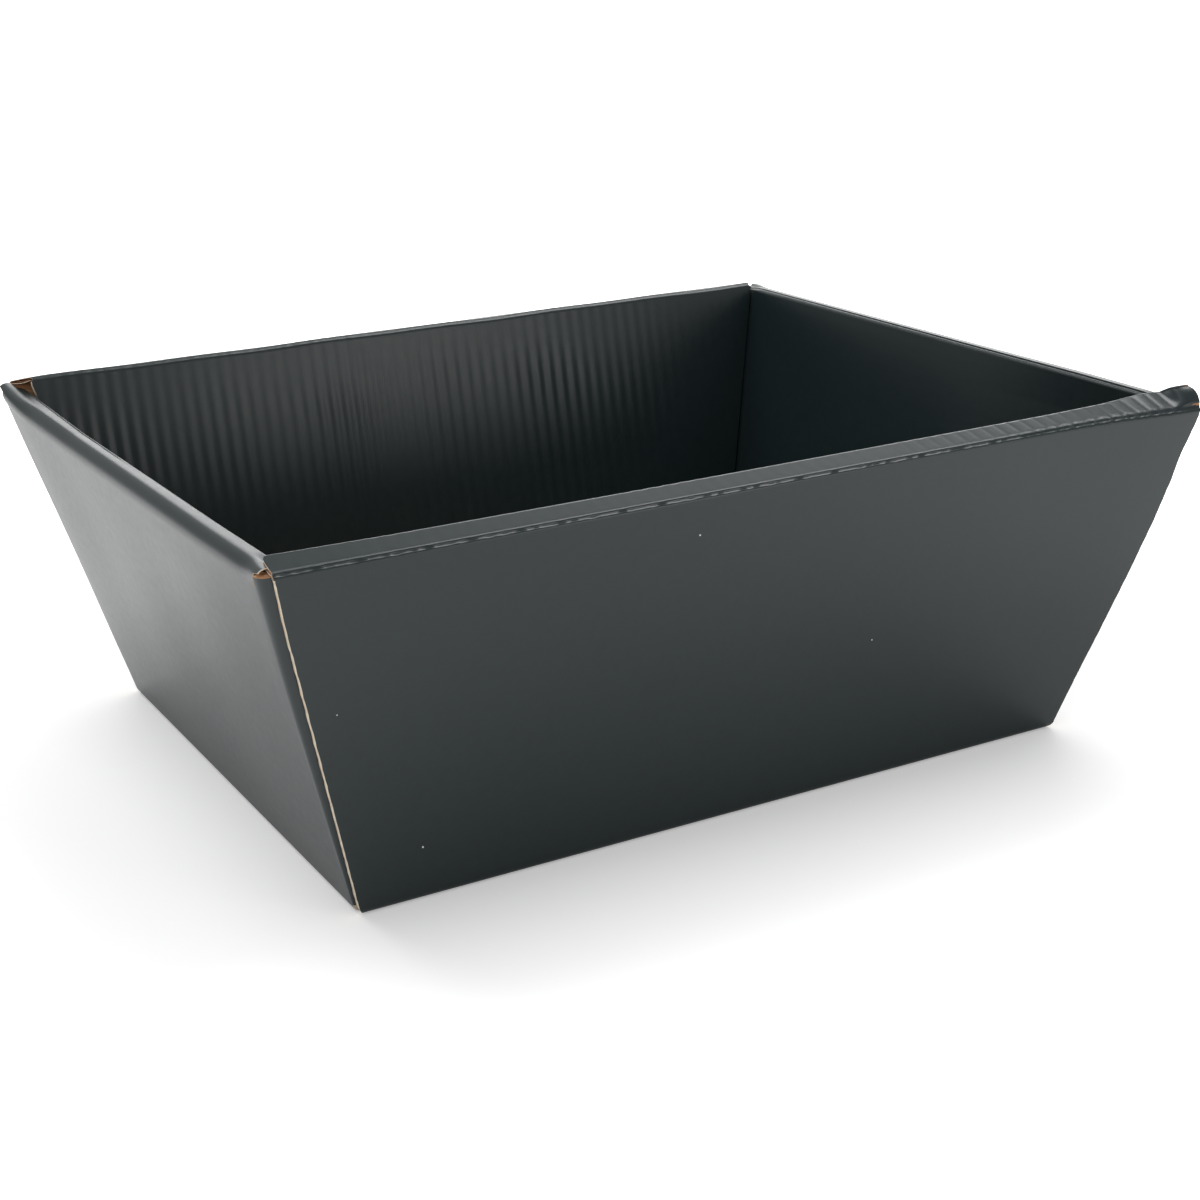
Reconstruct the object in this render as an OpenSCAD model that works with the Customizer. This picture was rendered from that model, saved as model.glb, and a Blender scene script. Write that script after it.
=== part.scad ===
// Open cardboard hamper tray with leaning double walls, folded from one sheet of
// single-wall corrugated board. The tray stands on the plane z = 0 with its long
// walls along X. The middle of the footprint is the origin.

/* [Tray] */
// Length over the rims, between the lines where wall and rim faces would meet
rim_length = 404; // [350:1:480]
// Width over the rims, between the lines where wall and rim faces would meet
rim_width = 320; // [270:1:380]
// Length of the base, edge to edge
base_length = 325; // [290:1:380]
// Width of the base, edge to edge
base_width = 257; // [220:1:300]
// Height of the outer crease of the long rims
rim_height = 145; // [100:1:200]

/* [Board] */
// Thickness of the board
board = 3; // [2:0.1:3.6]
// Gap between two plies that lie together
slack = 0.3; // [0.2:0.05:0.6]
// Inside radius of a sharp crease
crease_in = 0.6; // [0.3:0.1:2]
// How far each face of the board is pressed in where it bends or enters a slot
pinch = 0.08; // [0.05:0.01:0.3]

/* [Long walls] */
// Width of the long rims, square to the wall
long_rim = 12.5; // [11.5:0.1:18]
// Spare room for the corner flap at the foot of a long wall
flap_play = 0.9; // [0.3:0.1:3]
// How far the side cut of a long wall stands in from the corner at the foot
side_cut_foot = 0.8; // [0.4:0.1:4]
// How far the side cut of a long wall stands in from the corner at the rim
side_cut_rim = 4.7; // [1:0.1:8]
// How much a long rim is shorter at its inner crease than at its outer, each end
rim_mitre = 4.7; // [0:0.1:8]
// Gap between the end of a long inner panel and the end wall beside it
side_gap = 1; // [0.4:0.1:4]

/* [End walls] */
// Width of the flat rims of the end walls
end_rim = 11; // [9.5:0.1:18]
// Inside radius of the soft outer crease of an end rim
end_crease_in = 2.4; // [0.3:0.1:4]
// Height left free between an end rim and the long rim that laps over it
rim_lap = 0.5; // [0.3:0.1:3]

/* [Corner flaps] */
// Reach of a flap along the long wall that hides it
flap_length = 112; // [40:1:150]
// Distance of a flap's top edge under the end rim
flap_drop = 5.5; // [5:0.5:30]
// Height of a flap's lower edge above the ground
flap_lift = 5; // [4.5:0.5:20]
// How much a flap narrows towards its free edge, at the top and again below
flap_taper = 14; // [0:1:40]
// Inside radius of the upright corner fold
corner_in = 2; // [0.5:0.1:4]

/* [Locks] */
// Width of each of the two tabs under a long inner panel
long_tab = 55; // [20:1:80]
// Distance from the middle of the tray to the middle of a long wall's tab
long_tab_at = 85; // [45:1:100]
// Width of the tab under an end inner panel
end_tab = 60; // [20:1:120]
// Play round a tab in its slot
tab_play = 0.4; // [0.2:0.1:1.5]
// Height of a tab's tip above the ground
tab_lift = 0.4; // [0.2:0.1:2]

/* [Hidden] */
$fn = 48;

board_colour = "#24272a";
far = 1000;
// A bend turns on by this angle inside the flat plies beside it, so that the sheet is one piece
bend_bite = 5;

// Slope of the walls: sideways travel for each unit of height
end_slope = (rim_length - base_length) / 2 / rim_height;
long_slope = (rim_width - base_width) / 2 / rim_height;
end_lean = atan(end_slope);
long_lean = atan(long_slope);

// An end rim is cut off beside the upright corner fold, and lies just under the long rim
ply_pitch = board + slack;
end_normal = [-cos(end_lean), 0, -sin(end_lean)];
flap_normal = [0, -cos(long_lean), -sin(long_lean)];
corner_line = unit([-end_slope, -long_slope, 1]);
corner_turn = acos(end_normal * flap_normal);
corner_r = corner_in + board;
corner_reach = corner_r * tan(corner_turn / 2);
along_end = cross(end_normal, corner_line);
along_flap = cross(corner_line, flap_normal);
corner_cut = ply_pitch / cos(long_lean) + along_end[1] * corner_reach + along_end[2] * corner_reach * long_slope;
end_height = rim_height + corner_cut * tan(long_lean) - board / cos(long_lean) - rim_lap;

// Spacing of the outer and inner panels at the foot
long_foot = (3 * board + 2 * slack + flap_play) / cos(long_lean);
end_foot = (2 * board + slack) / cos(end_lean);

function unit(v) = v / norm(v);
// Direction to the right of d in a plane
function right_of(d) = [d[1], -d[0]];
// Length that a bend of outer radius r takes off each of the lines it joins
function bend_reach(d1, d2, r) = r * tan(acos(d1 * d2) / 2);

// Side view of a wall that leans towards -X of the view, as five corners of its outer face:
// the middle of the base, the foot, the outer rim crease, the inner rim crease and the
// bottom edge of the inner panel
function wall_corners(half_base, slope, height, rim, rim_rise, foot) =
    let (
        crest = [-half_base - height * slope, height],
        brow = crest + rim * [cos(rim_rise), sin(rim_rise)],
        heel_z = board + slack + board * slope,
        heel = [-half_base - heel_z * slope + foot, heel_z]
    )
    [[0, 0], [-half_base, 0], crest, brow, heel];

long_side = wall_corners(base_width / 2, long_slope, rim_height, long_rim, long_lean, long_foot);
end_side = wall_corners(base_length / 2, end_slope, end_height, end_rim, 0, end_foot);

// Distance from the middle to the face of the end inner panel, and to its side cut, at height z
function end_face(z) =
    let (brow = end_side[3], heel = end_side[4])
    -heel[0] + (z - heel[1]) * (heel[0] - brow[0]) / (brow[1] - heel[1]);
function end_inner_cut(z) = base_width / 2 + z * long_slope - 2 * ply_pitch / cos(long_lean);
// Distance from the middle to the side cut of the end outer panel at height z
function end_outer_cut(z) = base_width / 2 + z * long_slope - corner_cut;
// Distance from the middle to the side cut of the long outer panel at height z
function long_outer_cut(z) =
    base_length / 2 + z * end_slope - side_cut_foot - (side_cut_rim - side_cut_foot) * z / rim_height;

// Flat stretch of board in side view, on the right of the line from a to b, each face set in by inset
module ply(a, b, inset = 0) {
    side = right_of(unit(b - a));
    near = side * inset;
    away = side * (board - inset);
    polygon([a + near, b + near, b + away, a + away]);
}

// Bend in plan round the origin, from the X axis through the angle turn
module round_ply(inside, turn) {
    reach = 2 * (inside + board);
    polar = function(angle) reach * [cos(angle), sin(angle)];
    intersection() {
        difference() {
            circle(inside + board - pinch);
            circle(inside + pinch);
        }
        polygon([[0, 0], polar(-bend_bite), polar(turn / 2), polar(turn + bend_bite)]);
    }
}

// Bend in side view at a corner of the outer face, between the directions d1 and d2
module bend(corner, d1, d2, inside) {
    r = inside + board;
    out = -right_of(d2);
    translate(corner - d1 * bend_reach(d1, d2, r) + right_of(d1) * r)
        rotate(atan2(out[1], out[0]))
            round_ply(inside, acos(d1 * d2));
}

// Side view swept along X, from the view's own X to the tray's Y
module sweep() {
    rotate([90, 0, 90])
        linear_extrude(far, center = true)
            children();
}

// Keeps what lies between two slanting side cuts, at half-lengths h0 at z = 0 and h1 at rim_height
module side_cuts(h0, h1) {
    low = -board;
    high = rim_height + 2 * long_rim;
    low_half = h0 + (h1 - h0) * low / rim_height;
    high_half = h0 + (h1 - h0) * high / rim_height;
    intersection() {
        children();
        rotate([90, 0, 0])
            linear_extrude(far, center = true)
                polygon([[-low_half, low], [low_half, low], [high_half, high], [-high_half, high]]);
    }
}

// Keeps what lies between two end cuts in plan, at half-lengths h0 at y0 and h1 at y1
module plan_cuts(y0, y1, h0, h1) {
    step = (h1 - h0) / (y1 - y0);
    intersection() {
        children();
        linear_extrude(far, center = true)
            polygon([
                [-h0 + step * board, y0 - board], [h0 - step * board, y0 - board],
                [h1 + step * board, y1 + board], [-h1 - step * board, y1 + board]
            ]);
    }
}

// Bend between the base and a wall along X on the -Y side
module foot_bend(side) {
    sweep()
        bend(side[1], unit(side[1] - side[0]), unit(side[2] - side[1]), crease_in);
}

// Outer panel of a wall along X on the -Y side
module outer_panel(side, inside) {
    d0 = unit(side[1] - side[0]);
    d1 = unit(side[2] - side[1]);
    d2 = unit(side[3] - side[2]);
    sweep()
        ply(
            side[1] + d1 * bend_reach(d0, d1, crease_in + board),
            side[2] - d1 * bend_reach(d1, d2, inside + board)
        );
}

// Rim of a wall along X on the -Y side: outer crease, strip and inner crease
module rim_strip(side, inside) {
    d1 = unit(side[2] - side[1]);
    d2 = unit(side[3] - side[2]);
    d3 = unit(side[4] - side[3]);
    sweep() {
        bend(side[2], d1, d2, inside);
        ply(
            side[2] + d2 * bend_reach(d1, d2, inside + board),
            side[3] - d2 * bend_reach(d2, d3, crease_in + board)
        );
        bend(side[3], d2, d3, crease_in);
    }
}

// Inner panel of a wall along X on the -Y side
module inner_panel(side) {
    d2 = unit(side[3] - side[2]);
    d3 = unit(side[4] - side[3]);
    sweep()
        ply(side[3] + d3 * bend_reach(d2, d3, crease_in + board), side[4]);
}

// Tab that runs on from an inner panel through the base
module lock_tab(side, width) {
    d3 = unit(side[4] - side[3]);
    tip = side[4] + d3 * (side[4][1] - tab_lift - board * d3[0]) / -d3[1];
    rotate([90, 0, 90])
        linear_extrude(width, center = true)
            ply(side[4] - d3 * board, tip, pinch);
}

// Slot in the base for a tab, upright and as wide as the leaning tab needs
module lock_slot(side, width) {
    d3 = unit(side[4] - side[3]);
    face = side[4][0];
    drift = d3[0] / -d3[1] * side[4][1];
    back = face - board / -d3[1];
    left = min(back, back + drift) - tab_play;
    right = max(face, face + drift) + tab_play;
    translate([-width / 2 - tab_play, left, -board])
        cube([width + 2 * tab_play, right - left, 3 * board]);
}

module long_wall() {
    crest = long_side[2];
    brow = long_side[3];
    rim_half = long_outer_cut(rim_height);
    side_cuts(long_outer_cut(0), rim_half) {
        foot_bend(long_side);
        outer_panel(long_side, crease_in);
    }
    plan_cuts(crest[0], brow[0], rim_half, rim_half - rim_mitre)
        rim_strip(long_side, crease_in);
    side_cuts(end_face(0) - side_gap, end_face(rim_height) - side_gap)
        inner_panel(long_side);
    for (x = [-long_tab_at, long_tab_at])
        translate([x, 0, 0])
            lock_tab(long_side, long_tab);
}

// End wall, drawn along X on the -Y side like a long wall
module end_wall() {
    foot_half = base_width / 2 - ply_pitch / cos(long_lean) - slack;
    side_cuts(foot_half, foot_half)
        foot_bend(end_side);
    side_cuts(end_outer_cut(0), end_outer_cut(rim_height)) {
        outer_panel(end_side, end_crease_in);
        rim_strip(end_side, end_crease_in);
    }
    side_cuts(end_inner_cut(0), end_inner_cut(rim_height))
        inner_panel(end_side);
    lock_tab(end_side, end_tab);
}

// Point on the upright corner line of the -X -Y corner at height z, on the outer faces
function corner_at(z) = [
    -base_length / 2 - z * end_slope,
    -base_width / 2 - z * long_slope + ply_pitch / cos(long_lean),
    z
];

// Places children in the frame with origin o and the first two axes ex and ey
module in_frame(o, ex, ey) {
    ez = cross(ex, ey);
    multmatrix([
        [ex[0], ey[0], ez[0], o[0]],
        [ex[1], ey[1], ez[1], o[1]],
        [ex[2], ey[2], ez[2], o[2]],
        [0, 0, 0, 1]
    ])
        children();
}

// Upright fold and flap at the -X -Y corner, in one with the end wall
module corner_flap() {
    start = corner_at(flap_lift);
    run = norm(corner_at(end_height - flap_drop) - start);
    fold_axis = start + along_end * corner_reach - end_normal * corner_r;
    in_frame(fold_axis, end_normal, cross(corner_line, end_normal))
        linear_extrude(run)
            round_ply(corner_in, corner_turn);
    up = cross([1, 0, 0], -flap_normal);
    low = along_flap * corner_reach;
    high = low + corner_line * run;
    in_frame(start - flap_normal * board, [1, 0, 0], up)
        linear_extrude(board)
            polygon([
                [low[0], low * up],
                [flap_length, low * up + flap_taper],
                [flap_length, high * up - flap_taper],
                [high[0], high * up]
            ]);
}

module base_panel() {
    long_reach = bend_reach([-1, 0], unit(long_side[2] - long_side[1]), crease_in + board);
    end_reach = bend_reach([-1, 0], unit(end_side[2] - end_side[1]), crease_in + board);
    size = [base_length - 2 * end_reach, base_width - 2 * long_reach];
    difference() {
        translate([-size[0] / 2, -size[1] / 2, 0])
            cube([size[0], size[1], board]);
        for (turn = [0, 180])
            rotate([0, 0, turn]) {
                for (x = [-long_tab_at, long_tab_at])
                    translate([x, 0, 0])
                        lock_slot(long_side, long_tab);
                rotate([0, 0, -90])
                    lock_slot(end_side, end_tab);
            }
    }
}

module tray() {
    color(board_colour)
        union() {
            base_panel();
            for (turn = [0, 180])
                rotate([0, 0, turn]) {
                    long_wall();
                    rotate([0, 0, -90])
                        end_wall();
                    corner_flap();
                    mirror([1, 0, 0])
                        corner_flap();
                }
        }
}

tray();
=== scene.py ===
"""Open hamper tray folded from one sheet of black-faced corrugated board.

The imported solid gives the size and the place. This file dresses it: the two liners, the
fluting between them where a cut shows it, the creases, and the wear of a handled tray.
All working sizes below are in millimetres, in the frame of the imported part.
"""

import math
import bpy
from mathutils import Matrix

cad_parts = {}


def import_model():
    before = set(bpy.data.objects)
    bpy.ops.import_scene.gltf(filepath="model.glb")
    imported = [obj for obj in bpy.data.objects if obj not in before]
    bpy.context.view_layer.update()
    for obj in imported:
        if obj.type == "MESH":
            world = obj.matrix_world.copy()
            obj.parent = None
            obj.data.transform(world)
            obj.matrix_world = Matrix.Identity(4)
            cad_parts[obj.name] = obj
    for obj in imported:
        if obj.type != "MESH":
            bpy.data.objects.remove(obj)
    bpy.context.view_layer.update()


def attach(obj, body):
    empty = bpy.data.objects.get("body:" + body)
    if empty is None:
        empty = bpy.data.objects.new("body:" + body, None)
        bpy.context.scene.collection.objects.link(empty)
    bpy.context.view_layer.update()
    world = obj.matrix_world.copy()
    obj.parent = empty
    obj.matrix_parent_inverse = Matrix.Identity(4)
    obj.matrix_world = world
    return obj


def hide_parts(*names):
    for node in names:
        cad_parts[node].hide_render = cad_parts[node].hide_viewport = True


bl_info = {
    "name": "Folded hamper tray",
    "version": (1, 0, 0),
    "blender": (4, 5, 0),
    "location": "View3D > Sidebar > Tray",
    "description": "Builds a folded corrugated hamper tray around its packed solid",
    "category": "Add Mesh",
}

from types import SimpleNamespace

import bpy
import numpy as np
from mathutils import Matrix, Vector

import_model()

MM = 0.001
BODY = "root"
NODE = "tray"

# Material slots of each piece of board
FACE, BACK, CUT, FLUTE = range(4)


# Settings


def length(name, text, default):
    """A length in metres that a user can change."""
    return bpy.props.FloatProperty(
        name=name, description=text, default=default, min=0.0, unit="LENGTH", precision=5
    )


def colour(name, text, default):
    """A colour that a user can change."""
    return bpy.props.FloatVectorProperty(
        name=name, description=text, default=default, size=3, min=0.0, max=1.0, subtype="COLOR"
    )


def share(name, text, default):
    """A share between 0 and 1 that a user can change."""
    return bpy.props.FloatProperty(
        name=name, description=text, default=default, min=0.0, max=1.0, subtype="FACTOR"
    )


class TraySizes(bpy.types.PropertyGroup):
    """Sizes of the folded sheet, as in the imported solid."""

    rim_length: length("Rim length", "Length between the lines where wall and rim meet", 0.404)
    rim_width: length("Rim width", "Width between the lines where wall and rim meet", 0.320)
    base_length: length("Base length", "Length of the base, edge to edge", 0.325)
    base_width: length("Base width", "Width of the base, edge to edge", 0.257)
    rim_height: length("Rim height", "Height of the outer crease of the long rims", 0.145)
    end_height: length("End rim height", "Height of the end rims", 0.14275)
    front_rim: length("Front rim", "Width of the front rim", 0.0133)
    back_rim: length("Back rim", "Width of the back rim", 0.0121)
    end_rim: length("End rim", "Width of the end rims", 0.011)
    board: length("Board", "Thickness of the board", 0.003)
    liner: length("Liner", "Thickness of each liner where a cut shows it", 0.00048)
    flute_paper: length("Fluting paper", "Thickness of the fluted paper", 0.00030)
    flute_pitch: length("Flute pitch", "Distance from one flute to the next", 0.00645)
    slack: length("Slack", "Gap between two plies that lie together", 0.0003)
    long_tab: length("Long tab", "Width of each tab under a long inner panel", 0.055)
    long_tab_at: length("Long tab place", "From the middle of the tray to a long tab's middle", 0.085)
    end_tab: length("End tab", "Width of the tab under an end inner panel", 0.060)
    tab_play: length("Tab play", "Play round a tab in its slot", 0.0004)


class TrayLooks(bpy.types.PropertyGroup):
    """Colours and finish of the board."""

    black: colour("Black face", "Printed face of the board", (0.0055, 0.0125, 0.0140))
    kraft: colour("Kraft face", "Unprinted face of the board", (0.60, 0.33, 0.17))
    cut: colour("Cut edge", "Pale paper along a cut", (0.84, 0.74, 0.59))
    flute: colour("Fluting", "Paper of the fluting", (0.34, 0.165, 0.085))
    torn: colour("Torn paper", "Pale pulp where the face is torn off", (0.86, 0.83, 0.78))
    gloss: share("Roughness", "Roughness of the printed face", 0.29)


class StageSettings(bpy.types.PropertyGroup):
    """Floor, light and camera."""

    floor: colour("Floor", "Colour of the floor and of the background", (0.86, 0.86, 0.86))
    azimuth: bpy.props.FloatProperty(
        name="Azimuth",
        description="Camera's angle round the tray",
        default=math.radians(-29.42),
        subtype="ANGLE",
    )
    elevation: bpy.props.FloatProperty(
        name="Elevation",
        description="Camera's height angle",
        default=math.radians(19.52),
        subtype="ANGLE",
    )
    roll: bpy.props.FloatProperty(
        name="Roll",
        description="Camera's tilt to one side",
        default=math.radians(-1.12),
        subtype="ANGLE",
    )
    distance: length("Distance", "From the camera to the point it looks at", 0.8649)
    target: bpy.props.FloatVectorProperty(
        name="Target",
        description="Point the camera looks at",
        default=(-0.01032, -0.03936, 0.065),
        subtype="XYZ",
        unit="LENGTH",
    )
    lens: bpy.props.FloatProperty(
        name="Lens", description="Focal length on a 36 mm sensor", default=61.95, unit="CAMERA"
    )


def unit(v):
    v = np.asarray(v, float)
    return v / np.linalg.norm(v)


def sizes_in_mm(context):
    """The sizes in millimetres, with the slopes and corner lines that follow from them."""
    props = context.scene.tray_sizes
    g = SimpleNamespace(**{name: getattr(props, name) / MM for name in TraySizes.__annotations__})
    g.half_length, g.half_width = g.base_length / 2, g.base_width / 2
    g.end_slope = (g.rim_length - g.base_length) / 2 / g.rim_height
    g.long_slope = (g.rim_width - g.base_width) / 2 / g.rim_height
    g.end_lean, g.long_lean = math.atan(g.end_slope), math.atan(g.long_slope)
    g.ply_pitch = g.board + g.slack
    g.long_foot = (3 * g.board + 2 * g.slack + 0.9) / math.cos(g.long_lean)
    g.end_foot = (2 * g.board + g.slack) / math.cos(g.end_lean)
    g.heel = g.board + g.slack
    g.floor_x, g.floor_y = g.half_length - 8.0, g.half_width - 6.2
    return g


# Meshes


class Build:
    """Collects closed shells into one mesh."""

    def __init__(self):
        self.points, self.faces, self.slots, self.count = [], [], [], 0

    def shell(self, points, faces, slots):
        """Adds a closed shell, turned so that its faces look outward."""
        points = np.asarray(points, float).reshape(-1, 3)
        volume = 0.0
        middle = points.mean(0)
        for face in faces:
            p = points[list(face)] - middle
            volume += np.einsum("ij,ij->", np.cross(p[1:-1], p[2:]), np.repeat(p[:1], len(p) - 2, 0))
        if volume < 0:
            faces = [face[::-1] for face in faces]
        self.points.append(points)
        self.faces += [tuple(int(i) + self.count for i in face) for face in faces]
        self.slots += slots
        self.count += len(points)

    def finish(self, name, materials, sharp=38.0):
        mesh = bpy.data.meshes.new(name)
        mesh.from_pydata((np.concatenate(self.points) * MM).tolist(), [], self.faces)
        for material in materials:
            mesh.materials.append(material)
        mesh.polygons.foreach_set("material_index", self.slots)
        mesh.validate()
        mesh.shade_smooth()
        mesh.set_sharp_from_angle(angle=math.radians(sharp))
        piece = bpy.data.objects.new(name, mesh)
        bpy.context.scene.collection.objects.link(piece)
        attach(piece, BODY)
        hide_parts(NODE)
        return piece


def grid_faces(rows, cols, offset=0):
    """Quads of a grid of points, row after row."""
    index = offset + np.arange(rows * cols).reshape(rows, cols)
    quads = np.stack([index[:-1, :-1], index[:-1, 1:], index[1:, 1:], index[1:, :-1]], -1)
    return quads.reshape(-1, 4).tolist()


def slab(build, top, bottom, slots=(FACE, BACK, CUT), keep=None, last_cut=None):
    """A closed sheet between two grids of the same size. Cells that keep leaves out stay open."""
    rows, cols, _ = top.shape
    lower = rows * cols
    keep = np.ones((rows - 1, cols - 1), bool) if keep is None else keep
    index = np.arange(lower).reshape(rows, cols)
    quads = np.stack([index[:-1, :-1], index[:-1, 1:], index[1:, 1:], index[1:, :-1]], -1)[keep]
    faces = quads.tolist() + (quads[:, ::-1] + lower).tolist()
    marks = [slots[0]] * len(quads) + [slots[1]] * len(quads)
    seen = np.pad(keep, 1)
    for i, j in np.argwhere(keep):
        corner = [index[i, j], index[i, j + 1], index[i + 1, j + 1], index[i + 1, j]]
        beside = (seen[i, j + 1], seen[i + 1, j + 2], seen[i + 2, j + 1], seen[i + 1, j])
        for k, covered in enumerate(beside):
            if not covered:
                start, end = corner[k], corner[(k + 1) % 4]
                faces.append([end, start, start + lower, end + lower])
                top_row = last_cut is not None and k == 2 and i == rows - 2
                marks.append(last_cut if top_row else slots[2])
    used = np.unique(np.array(faces))
    fresh = np.full(2 * lower, -1)
    fresh[used] = np.arange(len(used))
    points = np.concatenate([top.reshape(-1, 3), bottom.reshape(-1, 3)])[used]
    build.shell(points, fresh[np.array(faces)].tolist(), marks)


def board(build, top, bottom, left, right):
    """A closed piece of board. Top and bottom are the two faces, the bottom with every nth column of the top.
    left and right are the columns down the cut edge from the top face to the bottom face, both left out."""
    rows, fine, _ = top.shape
    coarse = bottom.shape[1]
    step = (fine - 1) // (coarse - 1)
    parts = [top.reshape(-1, 3), bottom.reshape(-1, 3), left.reshape(-1, 3), right.reshape(-1, 3)]
    start = np.cumsum([0] + [len(p) for p in parts])
    t = start[0] + np.arange(rows * fine).reshape(rows, fine)
    b = start[1] + np.arange(rows * coarse).reshape(rows, coarse)
    le = start[2] + np.arange(rows * left.shape[1]).reshape(rows, -1)
    ri = start[3] + np.arange(rows * right.shape[1]).reshape(rows, -1)
    faces = grid_faces(rows, fine) + [f[::-1] for f in grid_faces(rows, coarse, start[1])]
    marks = [FACE] * ((rows - 1) * (fine - 1)) + [BACK] * ((rows - 1) * (coarse - 1))
    for chain, flip in (
        (np.column_stack([t[:, 0], le, b[:, 0]]), False),
        (np.column_stack([t[:, -1], ri, b[:, -1]]), True),
    ):
        for i in range(rows - 1):
            for j in range(chain.shape[1] - 1):
                quad = [chain[i, j], chain[i + 1, j], chain[i + 1, j + 1], chain[i, j + 1]]
                faces.append(quad[::-1] if flip else quad)
                marks.append(CUT if j in (0, chain.shape[1] - 2) else BACK)
    for row, flip in ((0, False), (-1, True)):
        ends = []
        for k in range(coarse - 1):
            low, high = k * step, (k + 1) * step
            half = low + step // 2
            ends += [[t[row, j], t[row, j + 1], b[row, k]] for j in range(low, half)]
            ends.append([t[row, half], b[row, k + 1], b[row, k]])
            ends += [[t[row, j], t[row, j + 1], b[row, k + 1]] for j in range(half, high)]
        ends.append([t[row, 0], b[row, 0]] + le[row, ::-1].tolist())
        ends.append([b[row, -1], t[row, -1]] + ri[row].tolist())
        faces += [f[::-1] for f in ends] if flip else ends
        marks += [CUT] * len(ends)
    build.shell(np.concatenate(parts), faces, marks)


# Folding


def spaced(length_mm, step, near, near_step):
    """Distances along a flat ply, closer together beside its bends."""
    if length_mm <= 2 * near:
        return np.linspace(0, length_mm, max(2, int(math.ceil(length_mm / near_step)) + 1))
    edge = np.linspace(0, near, int(math.ceil(near / near_step)) + 1)
    middle = np.linspace(near, length_mm - near, int(math.ceil((length_mm - 2 * near) / step)) + 1)
    return np.concatenate([edge[:-1], middle, (length_mm - edge[::-1])[1:]])


def fold_line(corners, radii, steps, arc_steps=10):
    """Side view of the board's outer face, as rows of points with outward normals.

    Each row also knows its distance along the face, its ply or bend (0 is the first ply,
    1 the first bend and so on), and how far along that it lies."""
    corners = [np.array(c, float) for c in corners]
    ways = [unit(b - a) for a, b in zip(corners[:-1], corners[1:])]
    turns = [math.acos(np.clip(a @ b, -1, 1)) for a, b in zip(ways[:-1], ways[1:])]
    reach = [0.0] + [r * math.tan(t / 2) for r, t in zip(radii, turns)] + [0.0]
    points, normals, places, parts, along = [], [], [], [], []
    place = 0.0
    for i, way in enumerate(ways):
        normal = np.array([way[1], -way[0]])
        start = corners[i] + way * reach[i]
        flat = np.linalg.norm(corners[i + 1] - way * reach[i + 1] - start)
        step, near, near_step = steps[i]
        for d in spaced(flat, step, near, near_step):
            points.append(start + way * d)
            normals.append(normal)
            places.append(place + d)
            parts.append(2 * i)
            along.append(d / flat)
        place += flat
        if i == len(ways) - 1:
            break
        r, turn = radii[i], turns[i]
        centre = start + way * flat - normal * r
        side = 1.0 if way[0] * ways[i + 1][1] - way[1] * ways[i + 1][0] > 0 else -1.0
        for k in range(1, arc_steps):
            angle = side * turn * k / arc_steps
            c, s = math.cos(angle), math.sin(angle)
            n = np.array([normal[0] * c - normal[1] * s, normal[0] * s + normal[1] * c])
            points.append(centre + n * r)
            normals.append(n)
            places.append(place + r * turn * k / arc_steps)
            parts.append(2 * i + 1)
            along.append(k / arc_steps)
        place += r * turn
    return SimpleNamespace(
        p=np.array(points), n=np.array(normals), s=np.array(places), part=np.array(parts), t=np.array(along)
    )


def wave(x, seed, pitches):
    """A repeatable uneven line between about -1 and 1."""
    draw = np.random.default_rng(seed)
    total = np.zeros_like(x, float)
    for pitch in pitches:
        total = total + np.sin(2 * math.pi * x / pitch * draw.uniform(0.85, 1.15) + draw.uniform(0, 6.28))
    return total / len(pitches)


def bump(x, centre, width):
    return np.exp(-(((x - centre) / width) ** 2))


def fade(x, low, high):
    """0 below low, 1 above high, smooth between."""
    t = np.clip((x - low) / (high - low), 0, 1)
    return t * t * (3 - 2 * t)


def wall_corners(start, half_base, slope, height, rim, rise, foot, heel, board_mm):
    """Corners of a wall's outer face in side view: outward distance and height."""
    crest = np.array([half_base + height * slope, height])
    brow = crest + rim * np.array([-math.cos(rise), math.sin(rise)])
    heel_z = heel + board_mm * slope
    return [(start, 0.0), (half_base, 0.0), crest, brow, (half_base + heel_z * slope - foot, heel_z)]


POCKET_STEPS = (0.0, 0.12, 0.28, 0.5, 0.75, 1.0)


def wall_foot(g, half_base, slope, foot):
    """Lower end of an inner panel's black face: outward distance and height."""
    heel_z = g.heel + g.board * slope
    return half_base + heel_z * slope - foot, heel_z


def line_part(line, rows):
    """Ply numbers of the chosen rows, with one more for the seam above them."""
    return np.append(line.part[rows], 2)


def lock_tab(build, world, middle, half, foot, slope, g):
    """Tab that runs on from an inner panel into its slot in the base."""
    z = np.linspace(foot[1] + 0.3, 0.4, 6)
    h = foot[0] - (foot[1] - z) * slope
    along = middle + np.linspace(-half, half, 12)
    grids = []
    for depth in (0.15, g.board - 0.2):
        grids.append(world(*np.broadcast_arrays(h[:, None] + depth, along[None, :], z[:, None])))
    slab(build, *grids)


def edge_columns(place, x_edge, inward, pocket, near, far):
    """The cut edge between the faces: two liner ends with a groove or an open flute between them.

    near and far are the depths at which the paper on each side of the groove ends."""
    out = [place(x_edge + inward * pocket * k, near + 0.1 * k) for k in POCKET_STEPS]
    out += [place(x_edge + inward * pocket * k, far - 0.1 * k) for k in POCKET_STEPS[::-1]]
    return np.stack(out, 1)


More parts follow.
